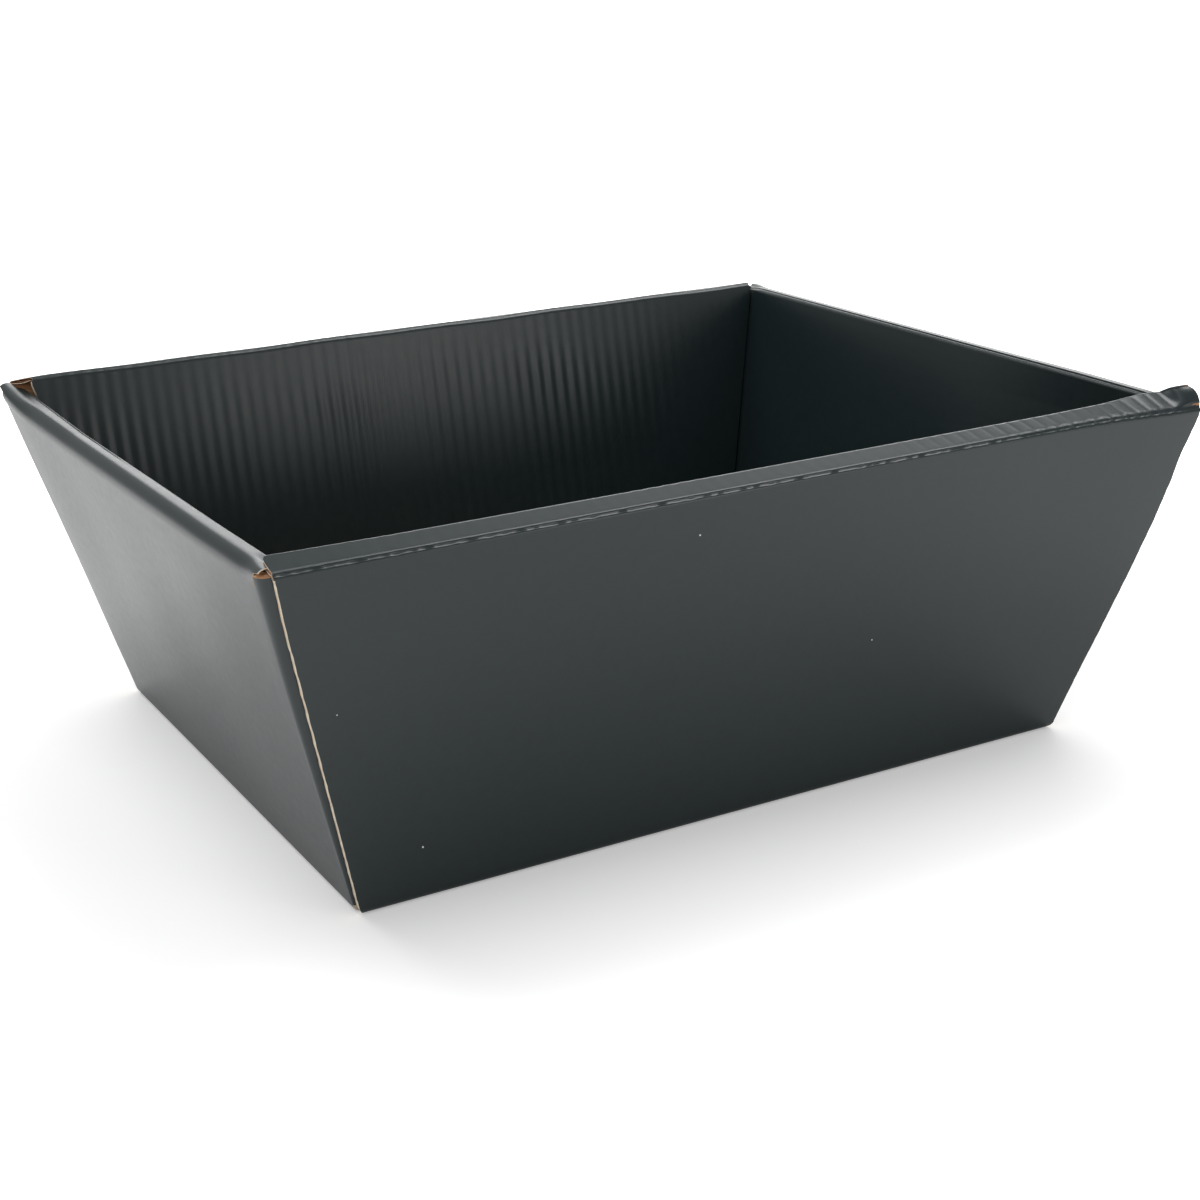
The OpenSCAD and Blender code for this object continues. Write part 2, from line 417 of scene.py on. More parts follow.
class LongWall:
    """Front or back wall: outer panel, rolled rim and inner panel, in one with its bend to the base."""

    def __init__(self, g, side):
        self.g, self.side = g, side
        front = side < 0
        rim = g.front_rim if front else g.back_rim
        corners = wall_corners(
            g.floor_y, g.half_width, g.long_slope, g.rim_height, rim, g.long_lean, g.long_foot, g.heel, g.board
        )
        # One bend radius per crease; per ply the row step, the finer stretch at its ends and its step
        radii = (3.6, 2.2, 2.4)
        steps = [(4, 0, 4), (2.4, 6, 0.6), (0.9, 2.5, 0.45), (3.6, 6, 0.6)]
        self.line = fold_line(corners, radii, steps)
        line = self.line
        self.crest_at = line.s[(line.part == 3)].mean()
        self.brow_at = line.s[(line.part == 5)].mean()
        rim_t = np.clip((line.s - self.crest_at) / (self.brow_at - self.crest_at), 0, 1)
        height = np.clip(line.p[:, 1] / g.rim_height, 0, 1)
        self.crest_pull = np.where(line.part <= 3, height**1.5, np.where(line.part >= 5, 0, 1 - rim_t))
        self.brow_pull = np.where(line.part <= 3, 0, np.where(line.part >= 5, height**2.5, rim_t))
        # The board is pressed thin in its creases
        self.crush = 1.0 - 0.45 * bump(line.s, self.crest_at, 3.0) - 0.40 * bump(line.s, self.brow_at, 3.0)

    def edge(self, end):
        """Half-length of each row towards end (-1 left, 1 right)."""
        g, line = self.g, self.line
        z = line.p[:, 1]
        outer = g.half_length + z * g.end_slope - 0.8 - 3.9 * z / g.rim_height
        face = (g.half_length + g.heel * g.end_slope - g.end_foot) + (z - 4.117) * 0.2404
        inner = face - 1.0
        if self.side < 0:
            crest, brow = (196.7, 192.6) if end < 0 else (200.9, 200.6)
        else:
            crest, brow = (197.1, 189.0) if end < 0 else (195.5, 188.8)
        t = np.clip((line.s - self.crest_at) / (self.brow_at - self.crest_at), 0, 1)
        bow = t**8 if self.side < 0 and end < 0 else t
        rim = crest + (brow - crest) * bow
        if self.side < 0 and end > 0:
            rim = rim + 0.8 * np.sin(math.pi * t) - 2.5 * t**4
        outer = outer + fade(z, 120, 145) * (crest - (g.half_length + g.rim_height * g.end_slope - 4.7))
        late = 1.4 if self.side < 0 and end > 0 else 0.0
        drop = fade(line.s, self.brow_at + 0.6 + late, self.brow_at + 2.2 + late)
        rough = 0.16 * wave(z, 60 + end + 5 * self.side, (9.1, 4.3, 2.6))
        foot = np.where(line.part == 0, 0, np.where(line.part == 1, line.t**0.12, 1))
        outer = g.floor_x * (1 - foot) + (outer + rough) * foot
        return np.where(line.part <= 2, outer, rim * (1 - drop) + (inner + 0.6 * rough) * drop)

    def pull(self, x):
        """How the rim departs from a straight fold at x: outward and upward moves of its two creases."""
        zero = np.zeros_like(x)
        if self.side > 0:
            droop = -0.9 * (1 - fade(x, -196, -180))
            return zero, droop + 0.25 * wave(x, 3, (160, 90)), zero, zero + 0.3 * wave(x, 4, (150, 70))
        crest_out = 1.9 * fade(x, 120, 200)
        crest_up = -1.2 * fade(x, 150, 201)
        marks = [-196, -185, -150, -60, 40, 130, 160, 170, 178.5, 184, 188, 190, 191.5, 193, 195, 198, 201]
        outs = [0, 0, 0, 0, 0, 0, 0, 0, 0.1, 0.2, 0.35, 0.7, 1.9, 3.4, 4.9, 6.4, 7.2]
        ups = [0.9, 0.7, 0.2, 0, 0.1, 0.3, 0.8, 1.4, 2.0, 2.1, 1.8, 1.7, 2.6, 3.5, 4.0, 4.3, 4.3]
        brow_out, brow_up = np.interp(x, marks, outs), np.interp(x, marks, ups)
        return crest_out, crest_up, brow_out, brow_up

    def place(self, x, depth):
        """Points on the board, depth below its black face, for each row's x values (rows by columns)."""
        g, line = self.g, self.line
        x = np.broadcast_to(x, (len(line.s),) + np.shape(x)[1:]) if np.ndim(x) > 1 else x[:, None]
        col = lambda v: v[:, None]
        crest_out, crest_up, brow_out, brow_up = self.pull(x)
        out = col(line.p[:, 0]) + col(self.crest_pull) * crest_out + col(self.brow_pull) * brow_out
        up = col(line.p[:, 1]) + col(self.crest_pull) * crest_up + col(self.brow_pull) * brow_up
        close = 1 - 0.30 * fade(np.abs(x), 180, 196) * col((line.part >= 3) & (line.part <= 5))
        lift = self.relief(x) - depth * col(self.crush) * close
        out = out + col(line.n[:, 0]) * lift
        up = up + col(line.n[:, 1]) * lift
        shift = corner_bulge(g, x, self.side * out, up)
        return np.stack([x + shift, self.side * out, up], -1)

    def relief(self, x):
        """Height of the black face over the plain fold: creases and the flutes that show through."""
        g, line = self.g, self.line
        s, part = line.s[:, None], line.part[:, None]
        turn = math.pi * (x - 1.2) / g.flute_pitch
        ripple, rib = np.cos(2 * turn), 0.5 - np.exp(-((np.sin(turn) / 0.42) ** 2))
        front = self.side < 0
        right = fade(x, 20, 150)
        strip = 0.03 * ripple
        if front:
            ribs = 0.22 * right * rib * (1 + 0.25 * wave(x, 8, (47, 23)))
            strip = 0.012 * ripple * (1 - right) + ribs
        inner = (0.075 + 0.045 * wave(x, 21, (130, 60))) * (1 - 0.8 * fade(x, 60, 190))
        inner = inner * (1 + 0.4 * wave(line.p[:, 1:2] + 0.3 * x, 22, (60, 33)))
        inner = inner * (0.3 + 0.7 * fade(s - self.brow_at, 4, 32))
        face = np.where(part <= 2, 0.003 * ripple, np.where(part <= 4, strip, inner * ripple))
        face = face * fade(np.abs(s - self.crest_at), 1.2, 3.5)
        uneven = 1 + 0.5 * wave(x, 5 + self.side, (21, 9.3, 5.1))
        soft = fade(x, 90, 150) if front else 0.0
        groove = 0.46 * bump(s, self.crest_at, 0.55) * uneven * (1 - soft)
        groove = groove + 0.55 * soft * bump(s, self.crest_at + 0.5, 1.2)
        dimple = 0.35 * soft * bump(s, self.crest_at + 0.4, 1.3) * wave(x, 9, (7.3, 4.1, 2.9))
        dimple = dimple * (1 - fade(np.abs(x), 186, 193))
        fold = 0.14 * bump(s, self.brow_at, 0.6) * (1 + 0.6 * wave(x, 11 + self.side, (17, 7.7, 4.3)))
        height = np.clip(line.p[:, 1:2] / g.rim_height, 0, 1)
        slow = 0.25 * wave(x, 31 + self.side, (190, 110)) * np.sin(math.pi * height)
        rim_t = np.clip((s - self.crest_at) / (self.brow_at - self.crest_at), 0, 1)
        if front:
            face = face + 1.5 * fade(x, 186, 200) * np.sin(math.pi * rim_t)
        return face - groove - dimple - fold + np.where(part == 2, slow, 0.4 * slow)

    def build(self, build):
        g, line = self.g, self.line
        fine = 2 * int(g.rim_length / 1.8) + 1
        step = 8
        fine = (fine - 1) // step * step + 1
        s = np.linspace(-1, 1, fine)
        left, right = self.edge(-1), self.edge(1)
        steady = np.where(line.part <= 1, g.floor_x - 3, g.half_length + line.p[:, 1] * g.end_slope - 3)
        hold = np.clip((np.abs(s) - 0.9) / 0.1, 0, 1)
        ends = np.where(s < 0, -(left - steady)[:, None], (right - steady)[:, None])
        x = s * steady[:, None] + hold * ends
        is_rim = (line.part >= 3) & (line.part <= 5)
        pocket = np.where(is_rim, 4.0, 0.35)
        near = np.where(is_rim, g.liner, g.board * (0.76 + 0.12 * wave(line.p[:, 1], 70, (31, 13, 6))))
        top, bottom = self.place(x, 0.0), self.place(x[:, ::step], g.board)
        # Share of the open end's depth and extra paper over it; the front strip's right end is pinched
        right_end = (0.4, 0.4) if self.side < 0 else (1.0, 0.0)
        sides = [
            edge_columns(
                lambda v, d: self.place(v, d[:, None])[:, 0],
                sign * reach,
                -sign,
                pocket * deep,
                near + is_rim * extra,
                g.board - 0.4 + 0 * near,
            )
            for sign, reach, deep, extra in ((-1, left, 1.0, 0.0), (1, right, *right_end))
        ]
        board(build, top, bottom, *sides)
        self.fluting(build, left, right)
        foot = np.array(wall_foot(g, g.half_width, g.long_slope, g.long_foot))

        def world(h, a, z):
            return np.stack([a, self.side * h, z], -1)

        for middle in (-g.long_tab_at, g.long_tab_at):
            lock_tab(build, world, middle, g.long_tab / 2, foot, 0.2030, g)

    def fluting(self, build, left, right):
        """Fluted paper inside the open ends of the rim."""
        g, line = self.g, self.line
        swing = (g.board - 2 * g.liner - g.flute_paper) / 2
        for sign, reach in ((-1, left), (1, right)):
            along = np.linspace(0.15, 3.8, 12)
            x = sign * (reach[:, None] - along)
            middle = g.board / 2 + swing * np.sin(2 * math.pi * (x - 0.4) / g.flute_pitch)
            rows = (line.part >= 3) & (line.part <= 5)
            sheet = [self.place(x, middle + k * g.flute_paper / 2)[rows] for k in (-1, 1)]
            slab(build, *sheet, slots=(FLUTE, FLUTE, FLUTE))


def corner_bulge(g, x, y, z):
    """Sideways bulge of the front right corner."""
    heights = [0, 21, 40, 58, 76, 94, 112, 131, 145, 155]
    bow = np.interp(z, heights, [0.2, 1.9, 3.8, 5.3, 6.4, 6.9, 6.5, 3.8, 1.0, 0.0])
    return bow * fade(x, 60, 180) * (1 - fade(y, -150, -20))


class EndWall:
    """Left or right wall, with the upright corner folds and the flaps behind the long walls."""

    def __init__(self, g, side):
        self.g, self.side = g, side
        corners = wall_corners(
            g.floor_x, g.half_length, g.end_slope, g.end_height, g.end_rim, 0.0, g.end_foot, g.heel, g.board
        )
        radii = (3.6, 5.4, 2.6)
        steps = [(1.3, 0, 1.3), (0.9, 0, 0.9), (0.8, 0, 0.5), (0.9, 0, 0.9)]
        self.line = fold_line(corners, radii, steps, arc_steps=14)
        line = self.line
        self.crest_at = line.s[(line.part == 3)].mean()
        self.brow_at = line.s[(line.part == 5)].mean()
        self.crush = 1.0 - 0.38 * bump(line.s, self.brow_at, 3.0)
        self.end_normal = unit([-math.cos(g.end_lean), 0, -math.sin(g.end_lean)])
        self.flap_normal = unit([0, -math.cos(g.long_lean), -math.sin(g.long_lean)])
        self.corner_line = unit([-g.end_slope, -g.long_slope, 1])
        self.turn = math.acos(self.end_normal @ self.flap_normal)
        self.along_end = np.cross(self.end_normal, self.corner_line)
        self.along_flap = np.cross(self.corner_line, self.flap_normal)
        self.seam_low, self.seam_high, self.fold_top = 3.2, 134.3, 139.3

    def corner_r(self, z):
        """Radius of the upright corner fold at height z."""
        return 0.7 + 4.3 * np.clip(z / 137.0, 0, 1) ** 0.8

    def reach(self, z):
        """From the sharp corner line to where the corner fold starts."""
        return self.corner_r(z) * math.tan(self.turn / 2)

    def seam(self, z):
        """Height of the panel's end row whose corner line ends at height z."""
        return z + self.along_end[2] * self.reach(z)

    def crest_lift(self, y):
        """Height of the real rim's outer crease over the straight one."""
        if self.side < 0:
            return np.interp(
                y,
                [-157, -139, -94, -17, 64, 126, 140, 150, 157],
                [3.0, 2.8, 1.45, -0.1, -1.9, -1.5, -0.7, 0.6, 1.3],
            )
        return np.interp(y, [-157, -139, -97, 5, 112, 148, 157], [1.4, 3.9, 4.1, 3.4, 2.6, 2.4, 2.2])

    def brow_lift(self, y):
        """Height of the real rim's inner crease over the straight one."""
        if self.side < 0:
            marks = [-157, -147, -139, -94, -17, 64, 126, 157]
            return np.interp(y, marks, [0.2, 1.2, 2.8, 1.45, -0.1, -1.9, -1.7, -1.5])
        marks = [-157, -150, -139, -97, 5, 112, 144, 148, 157]
        return np.interp(y, marks, [0.6, 2.2, 3.9, 4.0, 3.4, 2.6, 2.3, 1.2, 0.8])

    def opened(self, y):
        """How far the outer crease stands out where it was never pressed flat."""
        front = 1.9 * (1 - fade(y, -157, -138))
        return front + (2.3 * fade(y, 112, 152) if self.side < 0 else 1.5 * fade(y, 140, 156))

    def lean(self, y, z):
        """Outward lean of the back left corner."""
        return 1.3 * fade(y, 60, 150) * fade(z, 45, 140) * (z < 150) if self.side < 0 else 0 * y

    def pulled(self, z):
        """Share of the crease's lift that reaches down to height z."""
        return fade(z, 95, 141)

    def world(self, out, y, up):
        shift = corner_bulge(self.g, self.side * out, y, up)
        return np.stack([self.side * out + shift, y, up], -1)

    def cut(self, z):
        """Half-length of the outer panel and rim at height z."""
        g = self.g
        at_corner = g.half_width + z * g.long_slope - g.ply_pitch / math.cos(g.long_lean)
        return at_corner - self.reach(z) * (self.along_end[1] + self.along_end[2] * g.long_slope)

    def relief(self, s, y, z):
        g = self.g
        flutes = 0.005 * np.cos(2 * math.pi * s / g.flute_pitch)
        slow = 0.5 * wave(y, 41 + self.side, (210, 120)) * np.sin(math.pi * np.clip(z / g.rim_height, 0, 1))
        return flutes + slow

    def roll(self, build):
        """Outer crease, rim strip and inner panel."""
        g, line = self.g, self.line
        seam = self.seam(self.seam_high)
        rows = (line.part >= 3) | ((line.part == 2) & (line.p[:, 1] > seam + 0.2))
        first = np.argmax(rows)
        p = np.vstack([self.on_panel(seam), line.p[first:]])
        n = np.vstack([line.n[first], line.n[first:]])
        s = np.concatenate([[line.s[first] - np.linalg.norm(line.p[first] - p[0])], line.s[first:]])
        part = np.concatenate([[2], line.part[first:]])
        arc = np.concatenate([[0], line.t[first:]])
        crush = np.concatenate([[1.0], self.crush[first:]])
        z = p[:, 1]
        inner_cut = g.half_width + z * g.long_slope - 2 * g.ply_pitch / math.cos(g.long_lean)
        rim = np.where(part <= 3, 0.0, np.clip((s - self.crest_at) / (self.brow_at - self.crest_at), 0, 1))
        low = np.clip(z / g.end_height, 0, 1) ** 2
        crest_w = np.where(part <= 3, self.pulled(z), np.where(part >= 5, 0, 1 - rim))
        brow_w = np.where(part <= 3, 0, np.where(part == 6, low, rim))
        still = fade(z, seam, seam + 3) * (part < 4) + (part >= 4)

        def reach(end):
            crest, brow = ((154.3, 153.6) if end < 0 else (156.6, 153.4)) if self.side < 0 else (154.6, 154.6)
            mitred = crest + (brow - crest) * rim
            mitred = np.where((part <= 3) & (z < self.fold_top + 0.9), self.cut(z), mitred)
            inner = np.minimum(inner_cut, brow - 0.5)
            return np.where(part <= 5, mitred, inner)

        def place(y, depth):
            y = y if np.ndim(y) > 1 else y[:, None]
            depth = depth[:, None] if np.ndim(depth) == 1 else depth
            col = lambda v: v[:, None]
            up = col(z) + col(crest_w) * self.crest_lift(y) + col(brow_w) * self.brow_lift(y)
            fold = 0.12 * bump(col(s), self.brow_at, 0.6) * (1 + 0.6 * wave(y, 13 + self.side, (17, 7.7, 4.3)))
            rise = self.relief(col(s), y, col(z)) * np.where(col(part) == 6, 0.6, 0.25) * col(still)
            rise = rise - fold - depth * col(crush)
            open_fold = np.where(part == 3, np.sin(math.pi * arc), 0)[:, None] * self.opened(y)
            lean = self.lean(y, col(z)) * (1 - col(rim))
            out = col(p[:, 0]) + col(n[:, 0]) * rise + 0.79 * open_fold + lean
            return self.world(out, y, up + col(n[:, 1]) * rise + 0.61 * open_fold)

        front, back = reach(-1), reach(1)
        y = -front[:, None] + np.linspace(0, 1, 65) * (front + back)[:, None]
        pocket, near = np.full(len(z), 5.0), np.full(len(z), g.liner)
        sides = [
            edge_columns(lambda v, d: place(v, d)[:, 0], sign * half, -sign, pocket, near, g.board - near)
            for sign, half in ((-1, front), (1, back))
        ]
        board(build, place(y, 0.0), place(y, g.board), *sides)
        swing = (g.board - 2 * g.liner - g.flute_paper) / 2
        middle = g.board / 2 + swing * np.sin(2 * math.pi * s[:, None] / g.flute_pitch)
        for sign, half in ((-1, front), (1, back)):
            yy = sign * (half[:, None] - np.linspace(0.2, 4.8, 6))
            sheet = [place(yy, middle + k * g.flute_paper / 2)[1:] for k in (-1, 1)]
            slab(build, *sheet, slots=(FLUTE, FLUTE, FLUTE))

        foot = np.array(wall_foot(g, g.half_length, g.end_slope, g.end_foot))

        def world(h, a, z):
            return np.stack([self.side * h, a, z], -1)

        lock_tab(build, world, 0.0, g.end_tab / 2, foot, 0.2402, g)

    def on_panel(self, z):
        g = self.g
        return np.array([g.half_length + z * g.end_slope, z])

    def foot(self, build):
        """Bend to the base and the lowest part of the panel."""
        g, line = self.g, self.line
        seam = self.seam(self.seam_low)
        rows = (line.part <= 1) | ((line.part == 2) & (line.p[:, 1] < seam - 0.2))
        p = np.vstack([line.p[rows], self.on_panel(seam)])
        n = np.vstack([line.n[rows], line.n[line.part == 2][0]])
        half = np.minimum(self.cut(p[:, 1]), g.half_width - g.ply_pitch / math.cos(g.long_lean) - g.slack)
        half = np.where(line_part(line, rows) == 0, g.floor_y, half)
        half[-1] = self.cut(seam)
        share = np.linspace(-1, 1, 33)
        slot = (g.end_tab / 2 + g.tab_play) / half
        y = np.sign(share) * np.minimum(np.abs(share) / 0.25, 1) * slot[:, None]
        past_slot = np.sign(share) * np.maximum(np.abs(share) - 0.25, 0) / 0.75
        y = (y + past_slot * (1 - slot[:, None])) * half[:, None]
        grids = []
        for depth in (0.0, g.board):
            grids.append(self.world(p[:, :1] - n[:, :1] * depth, y, p[:, 1:] - n[:, 1:] * depth + 0 * y))
        mid = (p[:-1, 0] + p[1:, 0]) / 2
        slot_near, slot_far = 155.7, 160.6
        open_row = (mid > slot_near) & (mid < slot_far) & (p[:-1, 1] < g.board / 2)
        keep = ~(open_row[:, None] & (np.abs((share[:-1] + share[1:]) / 2) < 0.25)[None, :])
        slab(build, *grids, keep=keep)

    def panel(self, build):
        """Outer panel with its corner folds and flaps."""
        g = self.g
        z = np.linspace(self.seam_low, self.seam_high, 140)
        flap_length, taper = 112.0, 14.0
        t = (z - z[0]) / (z[-1] - z[0])
        mirror = np.array([-1.0, 1, 1]) if self.side > 0 else np.ones(3)

        def corner_at(height):
            return np.stack(
                [
                    -g.half_length - height * g.end_slope,
                    -g.half_width - height * g.long_slope + g.ply_pitch / math.cos(g.long_lean),
                    height,
                ],
                -1,
            )

        high = z[0] + t * (self.fold_top - z[0])
        corner, tall = corner_at(z), corner_at(high)
        reach, tall_reach = self.reach(z)[:, None], self.reach(high)[:, None]
        radius = self.corner_r(high)[:, None]
        up = np.cross([1, 0, 0], -self.flap_normal)
        columns, normals = [], []
        start = tall + self.along_flap * tall_reach
        for a in np.linspace(1, 0, 13)[:-1]:
            sag = up * (taper * a) * (1 - 2 * t)[:, None]
            columns.append(start + np.array([1.0, 0, 0]) * (flap_length - tall_reach) * a + sag)
            normals.append(self.flap_normal)
        axis = tall + self.along_end * tall_reach - self.end_normal * radius
        for k in range(10, 0, -1):
            angle = self.turn * k / 10
            n = math.sin(self.turn - angle) * self.end_normal + math.sin(angle) * self.flap_normal
            n = n / math.sin(self.turn)
            columns.append(axis + n * radius)
            normals.append(n)
        tangent = corner + self.along_end * reach
        flip = np.array([1.0, -1, 1])
        across = np.linspace(0, 1, 61)
        middle = [tangent * (1 - a) + tangent * flip * a for a in across]
        front = list(zip(columns, normals))
        back = [(c * flip, n * flip) for c, n in front[::-1]]
        cols = front + [(m, self.end_normal) for m in middle] + back
        grid = np.stack([c for c, _ in cols], 1)
        norm = np.stack([np.broadcast_to(n, (len(z), 3)) for _, n in cols], 1)
        flat = np.array([abs(n[1]) < 1e-6 for _, n in cols])
        end_x = -g.half_length - grid[..., 2] * g.end_slope
        free = 1 - np.clip((grid[..., 0] - end_x) / flap_length, 0, 1)
        flat_ply = self.line.part == 2
        s = self.line.s[flat_ply][0] + (grid[..., 2] - self.line.p[flat_ply][0, 1]) / math.cos(g.end_lean)
        rise = self.relief(s, grid[..., 1], grid[..., 2]) * fade(148 - np.abs(grid[..., 1]), 0, 25) * flat
        rise = rise * fade(grid[..., 2], 6, 25) * (1 - fade(grid[..., 2], 120, 137))
        faces = []
        for depth in (0.0, g.board):
            q = (grid + norm * (rise - depth)[..., None]) * mirror
            lift = self.crest_lift(q[..., 1]) * self.pulled(grid[..., 2]) * free
            q[..., 2] += lift
            q[..., 0] += self.side * self.lean(q[..., 1], grid[..., 2])
            q[..., 1] += np.sign(q[..., 1]) * g.long_slope * lift * np.abs(norm[..., 1])
            q[..., 0] += corner_bulge(g, q[..., 0], q[..., 1], q[..., 2])
            faces.append(q)
        slab(build, *faces, last_cut=BACK)


# Wear


def flake(build, centre, normal, along, long, wide, thick, seed, slot):
    """A small uneven spot of torn paper that lies on the face behind it."""
    n = 14
    draw = np.random.default_rng(seed)
    normal = unit(normal)
    along = unit(np.array(along, float) - normal * (np.array(along, float) @ normal))
    side = np.cross(normal, along)
    turn = np.arange(n) / n * 2 * math.pi
    reach = 1 + 0.30 * (draw.random(n) - 0.5)
    rim = np.outer(np.cos(turn) * reach * long / 2, along) + np.outer(np.sin(turn) * reach * wide / 2, side)
    centre = np.array(centre, float)
    low = centre + rim - normal * 0.12
    high = centre + rim * 0.8 + normal * thick
    points = np.vstack([low, high, [centre + normal * thick * 1.25]])
    faces = [list(range(n))[::-1]]
    faces += [[i, (i + 1) % n, n + (i + 1) % n, n + i] for i in range(n)]
    faces += [[n + i, n + (i + 1) % n, 2 * n] for i in range(n)]
    build.shell(points, faces, [slot] * len(faces))


# Materials


def node_group(name, inputs, outputs):
    """An empty shader node group with named sockets."""
    group = bpy.data.node_groups.new(name, "ShaderNodeTree")
    for label, kind, default in inputs:
        socket = group.interface.new_socket(label, in_out="INPUT", socket_type=kind)
        socket.default_value = default
    for label, kind in outputs:
        group.interface.new_socket(label, in_out="OUTPUT", socket_type=kind)
    return group, group.nodes.new("NodeGroupInput"), group.nodes.new("NodeGroupOutput")


def add(tree, kind, **values):
    """A node with the given settings; a name with a leading in_ sets the input of that name."""
    node = tree.nodes.new("ShaderNode" + kind)
    for key, value in values.items():
        if key.startswith("in_"):
            node.inputs[key[3:].replace("_", " ")].default_value = value
        else:
            setattr(node, key, value)
    return node


def fibre_group():
    """Paper fibres: a colour mask and a height, in the part's own coordinates."""
    group, come, go = node_group(
        "paper_fibres",
        [("Scale", "NodeSocketFloat", 1.0), ("Contrast", "NodeSocketFloat", 0.5)],
        [("Mask", "NodeSocketFloat"), ("Height", "NodeSocketFloat")],
    )
    link = group.links.new
    where = add(group, "TexCoord")
    size = add(group, "VectorMath", operation="SCALE")
    link(where.outputs["Object"], size.inputs[0])
    link(come.outputs["Scale"], size.inputs["Scale"])
    coarse = add(group, "TexNoise", in_Scale=260.0, in_Detail=4.0, in_Roughness=0.6)
    fine = add(group, "TexNoise", in_Scale=1500.0, in_Detail=2.0, in_Roughness=0.5)
    for noise in (coarse, fine):
        link(size.outputs[0], noise.inputs["Vector"])
    mix = add(group, "Math", operation="MULTIPLY_ADD")
    link(fine.outputs["Fac"], mix.inputs[0])
    mix.inputs[1].default_value = 0.4
    link(coarse.outputs["Fac"], mix.inputs[2])
    spread = add(group, "MapRange")
    link(mix.outputs[0], spread.inputs["Value"])
    spread.inputs["From Min"].default_value = 0.45
    spread.inputs["From Max"].default_value = 0.95
    strength = add(group, "Math", operation="MULTIPLY")
    link(spread.outputs[0], strength.inputs[0])
    link(come.outputs["Contrast"], strength.inputs[1])
    link(strength.outputs[0], go.inputs["Mask"])
    link(mix.outputs[0], go.inputs["Height"])
    return group


def paper_material(name, base, dark, fibres, scale, contrast, rough):
    """Uncoated paper: two tones mixed by its fibres."""
    material = bpy.data.materials.new(name)
    material.use_nodes = True
    tree = material.node_tree
    shader = tree.nodes["Principled BSDF"]
    shader.inputs["Roughness"].default_value = rough
    shader.inputs["Specular IOR Level"].default_value = 0.25
    group = add(tree, "Group", node_tree=fibres)
    group.inputs["Scale"].default_value = scale
    group.inputs["Contrast"].default_value = contrast
    mix = add(tree, "Mix", data_type="RGBA")
    mix.inputs["A"].default_value = (*base, 1)
    mix.inputs["B"].default_value = (*dark, 1)
    tree.links.new(group.outputs["Mask"], mix.inputs["Factor"])
    tree.links.new(mix.outputs["Result"], shader.inputs["Base Color"])
    relief = add(tree, "Bump", in_Strength=0.35, in_Distance=0.0002)
    tree.links.new(group.outputs["Height"], relief.inputs["Height"])
    tree.links.new(relief.outputs["Normal"], shader.inputs["Normal"])
    return material


def black_material(looks, fibres):
    """Printed face: satin black ink and varnish over paper."""
    material = bpy.data.materials.new("black_print")
    material.use_nodes = True
    tree = material.node_tree
    link = tree.links.new
    shader = tree.nodes["Principled BSDF"]
    shader.inputs["Specular IOR Level"].default_value = 0.50
    shader.inputs["IOR"].default_value = 1.5
    group = add(tree, "Group", node_tree=fibres)
    group.inputs["Scale"].default_value = 1.0
    group.inputs["Contrast"].default_value = 0.5
    tone = add(tree, "Mix", data_type="RGBA")
    tone.inputs["A"].default_value = (*looks.black, 1)
    tone.inputs["B"].default_value = (*[c * 1.5 for c in looks.black], 1)
    link(group.outputs["Mask"], tone.inputs["Factor"])
    link(tone.outputs["Result"], shader.inputs["Base Color"])
    rough = add(tree, "MapRange")
    rough.inputs["To Min"].default_value = looks.gloss - 0.03
    rough.inputs["To Max"].default_value = looks.gloss + 0.05
    link(group.outputs["Height"], rough.inputs["Value"])
    link(rough.outputs[0], shader.inputs["Roughness"])
    relief = add(tree, "Bump", in_Strength=0.10, in_Distance=0.0001)
    link(group.outputs["Height"], relief.inputs["Height"])
    link(relief.outputs["Normal"], shader.inputs["Normal"])
    return material


def board_materials(context):
    """The four finishes of the board, made once."""
    made = bpy.data.materials.get("black_print")
    if made:
        return [bpy.data.materials[n] for n in ("black_print", "kraft_face", "cut_edge", "fluting")]
    looks = context.scene.tray_looks
    fibres = fibre_group()
    return [
        black_material(looks, fibres),
        paper_material("kraft_face", looks.kraft, [c * 0.7 for c in looks.kraft], fibres, 1.0, 0.7, 0.8),
        paper_material("cut_edge", looks.cut, [c * 0.6 for c in looks.cut], fibres, 1.6, 0.8, 0.85),
        paper_material("fluting", looks.flute, [c * 0.6 for c in looks.flute], fibres, 1.3, 0.6, 0.85),
    ]


def torn_material(context):
    """Pale pulp under a torn face."""
    looks = context.scene.tray_looks
    fibres = bpy.data.node_groups["paper_fibres"]
    return paper_material("torn_pulp", looks.torn, [c * 0.8 for c in looks.torn], fibres, 1.6, 0.7, 0.9)


# Operators


